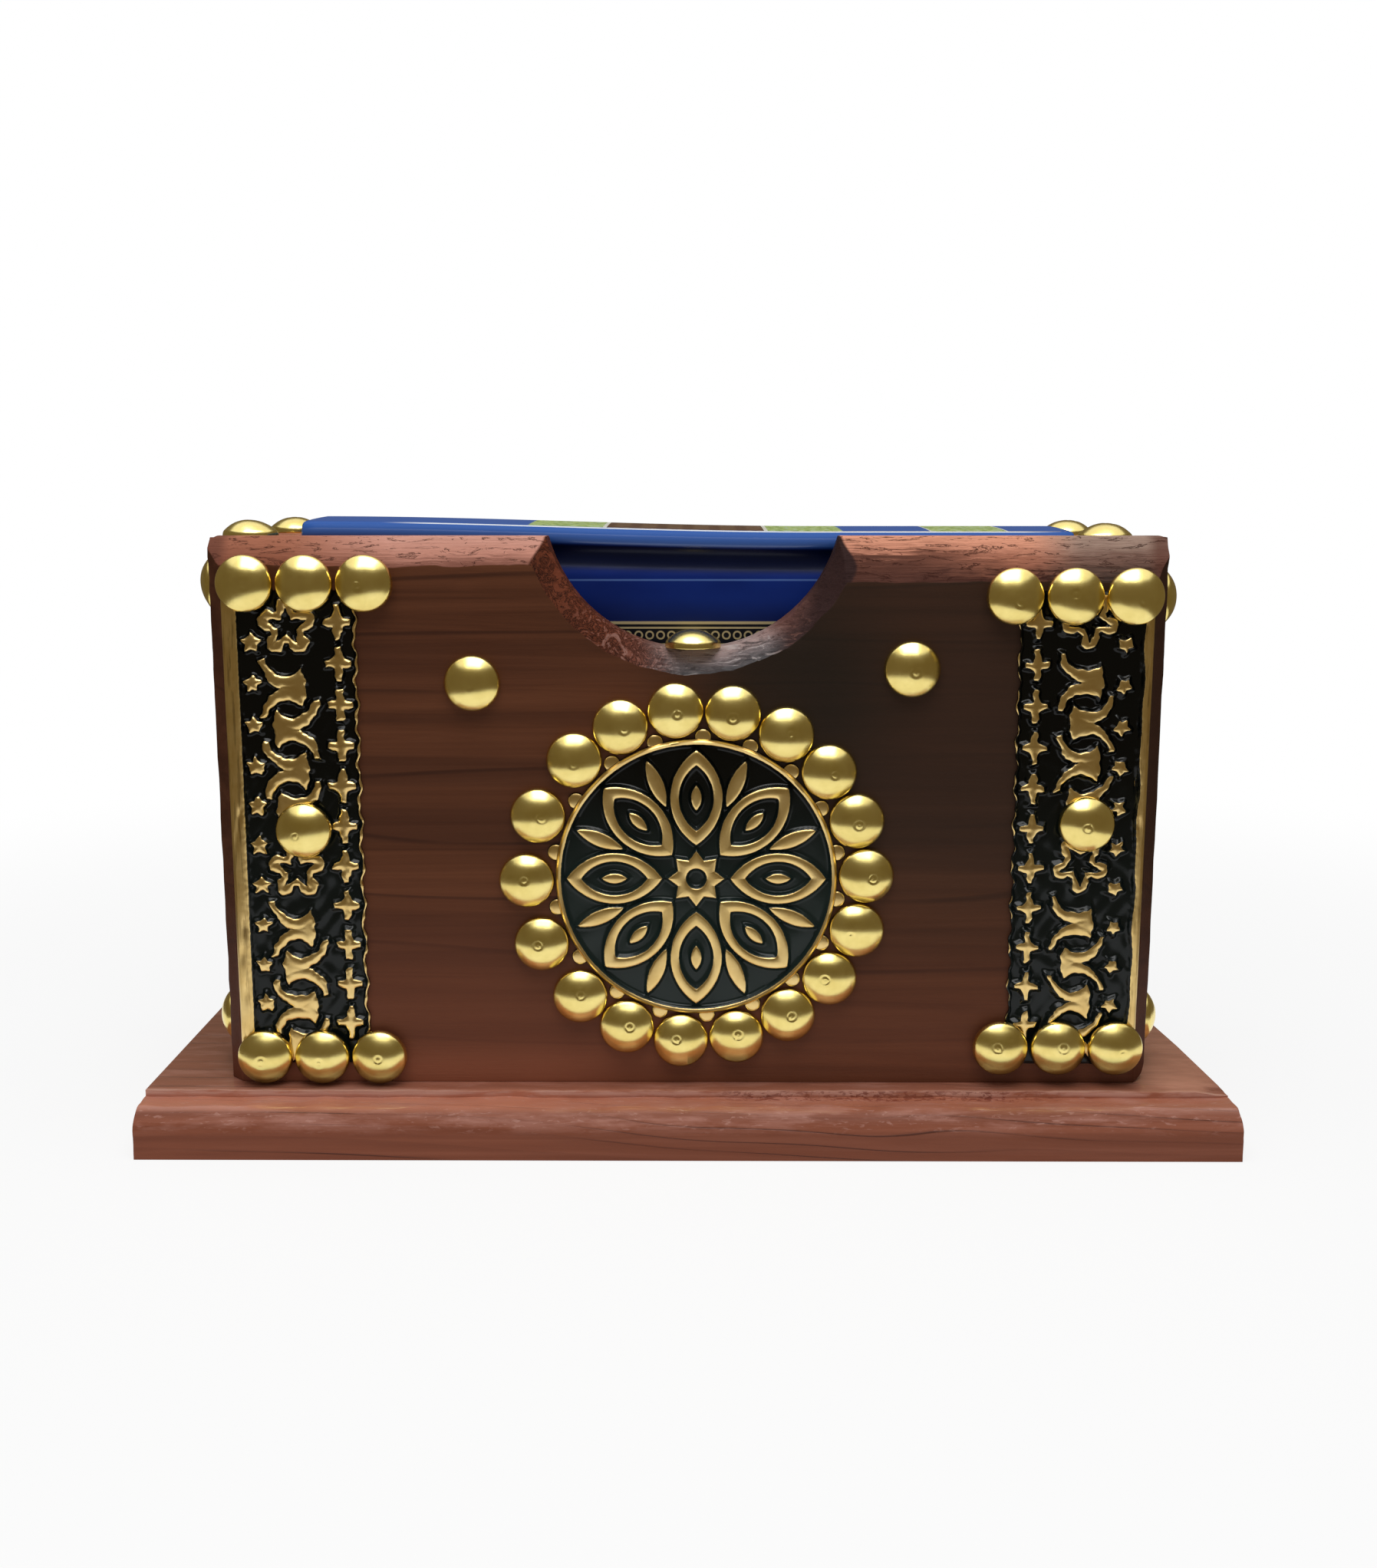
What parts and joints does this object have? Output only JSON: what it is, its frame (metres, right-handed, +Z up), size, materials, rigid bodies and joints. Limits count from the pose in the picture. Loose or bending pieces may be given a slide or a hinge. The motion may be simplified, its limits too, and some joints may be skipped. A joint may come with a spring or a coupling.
{
  "type": "quran box",
  "caption": "Open wooden book box on a moulded plinth, with a finger notch, domed brass studs, embossed strips and a medallion; the bound volume it holds lifts out.",
  "frame": {"origin": "middle of the plinth's underside", "axes": "+Z up, +X along the width to the viewer's right, front face towards -Y"},
  "size_m": [0.315, 0.145, 0.18],
  "materials": {
    "plinth_wood": "stained and varnished",
    "board_wood": "stained and varnished",
    "steel": "plain",
    "lacquered_brass": "embossed, ground lacquered black",
    "stud_brass": "satin",
    "cover": "glossy laminated print",
    "pages": "matte",
    "headband": "woven"
  },
  "bodies": {
    "box": {"plinth": "plinth_wood", "front_board": "board_wood", "back_board": "board_wood", "left_board": "board_wood", "right_board": "board_wood", "plinth_screws": "steel", "corner_pins": "steel", "front_left_strip": "lacquered_brass", "front_right_strip": "lacquered_brass", "left_front_strip": "lacquered_brass", "left_rear_strip": "lacquered_brass", "right_front_strip": "lacquered_brass", "right_rear_strip": "lacquered_brass", "medallion": "lacquered_brass", "medallion_studs": "stud_brass", "field_studs": "stud_brass", "notch_stud": "stud_brass", "front_left_studs": "stud_brass", "front_right_studs": "stud_brass", "left_side_studs": "stud_brass", "right_side_studs": "stud_brass", "left_rim_studs": "stud_brass", "right_rim_studs": "stud_brass"},
    "volume": {"volume_cover": "cover", "volume_pages": "pages", "volume_headbands": "headband"}
  },
  "joints": [
    {"name": "volume_lift", "type": "slide", "parent": "box", "child": "volume", "axis": [0, 0, 1], "range_m": [0, 0.17]}
  ]
}
